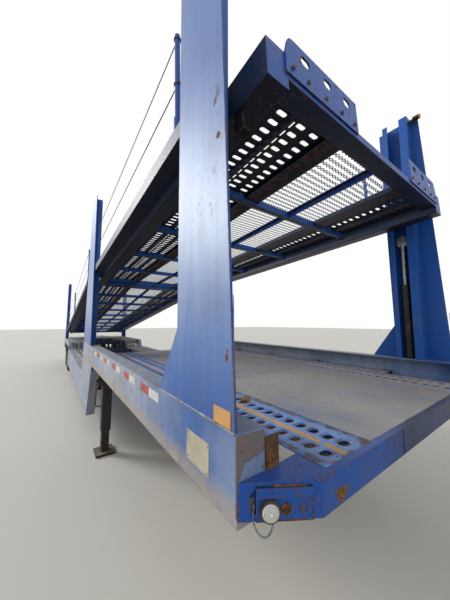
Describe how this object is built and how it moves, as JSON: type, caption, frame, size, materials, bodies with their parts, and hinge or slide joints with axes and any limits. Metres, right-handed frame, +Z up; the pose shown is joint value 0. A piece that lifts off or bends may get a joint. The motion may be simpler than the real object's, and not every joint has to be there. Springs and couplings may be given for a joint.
{
  "type": "two-deck car transporter semi-trailer",
  "caption": "Car transporter semi-trailer with a stepped lower deck, guide posts, a lifting upper deck in hinged sections and twin wheels, parked on its landing legs.",
  "frame": {"origin": "on the ground under the middle of the trailer", "axes": "+X to the front of the trailer, +Y to its left, +Z up"},
  "size_m": [13.75, 2.508, 3.93],
  "materials": {
    "blue_paint": "sun-faded, chipped and rusty at edges",
    "black_paint": "dusty satin",
    "wheel_paint": "dusty satin",
    "bare_steel": "greased",
    "rusty_steel": "rusty and rough",
    "galvanised_steel": "dull grey",
    "tyre_rubber": "dusty",
    "black_plastic": "matte",
    "clear_lens": "ribbed lens",
    "amber_lens": "gloss",
    "red_lens": "gloss"
  },
  "bodies": {
    "chassis": {"air_tanks": "black_paint", "axle_front": "black_paint", "axle_rear": "black_paint", "brake_chambers": "black_paint", "front_lamps": "clear_lens", "front_platform_centre": "blue_paint", "front_platform_tracks": "blue_paint", "front_sill": "blue_paint", "gooseneck_frame": "blue_paint", "kingpin": "bare_steel", "kingpin_plate": "rusty_steel", "landing_legs": "black_paint", "lift_cylinder_tubes": "blue_paint", "loading_ramps": "galvanised_steel", "mudguards": "black_plastic", "post_front_left": "blue_paint", "post_front_right": "blue_paint", "post_lamps": "amber_lens", "post_middle_left": "blue_paint", "post_middle_right": "blue_paint", "post_rear_left": "blue_paint", "post_rear_right": "blue_paint", "rear_bumper": "blue_paint", "rear_frame": "blue_paint", "rear_tracks": "blue_paint", "side_frame_left": "blue_paint", "side_frame_right": "blue_paint", "side_marker_lamps": "amber_lens", "sill_brackets": "rusty_steel", "springs": "black_paint", "tail_lamps": "red_lens", "well_frame": "blue_paint", "well_tracks": "blue_paint"},
    "upper_front": {"upper_front_cross_beams": "blue_paint", "upper_front_hinge_pins": "blue_paint", "upper_front_mesh": "galvanised_steel", "upper_front_shoes": "blue_paint", "upper_front_side_beams": "blue_paint", "upper_front_stanchions": "blue_paint", "upper_front_stop_plates": "blue_paint", "upper_front_tracks": "blue_paint"},
    "upper_rear": {"upper_rear_cross_beams": "blue_paint", "upper_rear_hinge_ears": "blue_paint", "upper_rear_mesh": "galvanised_steel", "upper_rear_rollers": "bare_steel", "upper_rear_side_beams": "blue_paint", "upper_rear_stanchions": "blue_paint", "upper_rear_tracks": "blue_paint"},
    "front_lift_rods": {"lift_rods_front": "bare_steel"},
    "middle_lift_rods": {"lift_rods_middle": "bare_steel"},
    "front_wheels_right": {"tyres_front_right": "tyre_rubber", "wheels_front_right": "wheel_paint"},
    "front_wheels_left": {"tyres_front_left": "tyre_rubber", "wheels_front_left": "wheel_paint"},
    "rear_wheels_right": {"tyres_rear_right": "tyre_rubber", "wheels_rear_right": "wheel_paint"},
    "rear_wheels_left": {"tyres_rear_left": "tyre_rubber", "wheels_rear_left": "wheel_paint"}
  },
  "joints": [
    {"name": "upper_deck_lift", "type": "slide", "parent": "chassis", "child": "upper_front", "axis": [0, 0, 1], "range_m": [0, 0.8]},
    {"name": "rear_section_hinge", "type": "hinge", "parent": "upper_front", "child": "upper_rear", "pos_m": [2.05076, 0, 2.58384], "axis": [0, 1, 0], "range_deg": [0, 8.7]},
    {"name": "front_rods_slide", "type": "slide", "parent": "chassis", "child": "front_lift_rods", "axis": [0, 0, 1], "range_m": [0, 0.4]},
    {"name": "middle_rods_slide", "type": "slide", "parent": "chassis", "child": "middle_lift_rods", "axis": [0, 0, 1], "range_m": [0, 0.4]},
    {"name": "front_wheels_right_spin", "type": "hinge", "parent": "chassis", "child": "front_wheels_right", "pos_m": [-3.825, 0, 0.393], "axis": [0, 1, 0], "continuous": true},
    {"name": "front_wheels_left_spin", "type": "hinge", "parent": "chassis", "child": "front_wheels_left", "pos_m": [-3.825, 0, 0.393], "axis": [0, 1, 0], "continuous": true},
    {"name": "rear_wheels_right_spin", "type": "hinge", "parent": "chassis", "child": "rear_wheels_right", "pos_m": [-5.135, 0, 0.393], "axis": [0, 1, 0], "continuous": true},
    {"name": "rear_wheels_left_spin", "type": "hinge", "parent": "chassis", "child": "rear_wheels_left", "pos_m": [-5.135, 0, 0.393], "axis": [0, 1, 0], "continuous": true}
  ],
  "couplings": [
    {"joint": "front_rods_slide", "follows": "upper_deck_lift", "ratio": 0.5},
    {"joint": "middle_rods_slide", "follows": "upper_deck_lift", "ratio": 0.5}
  ]
}
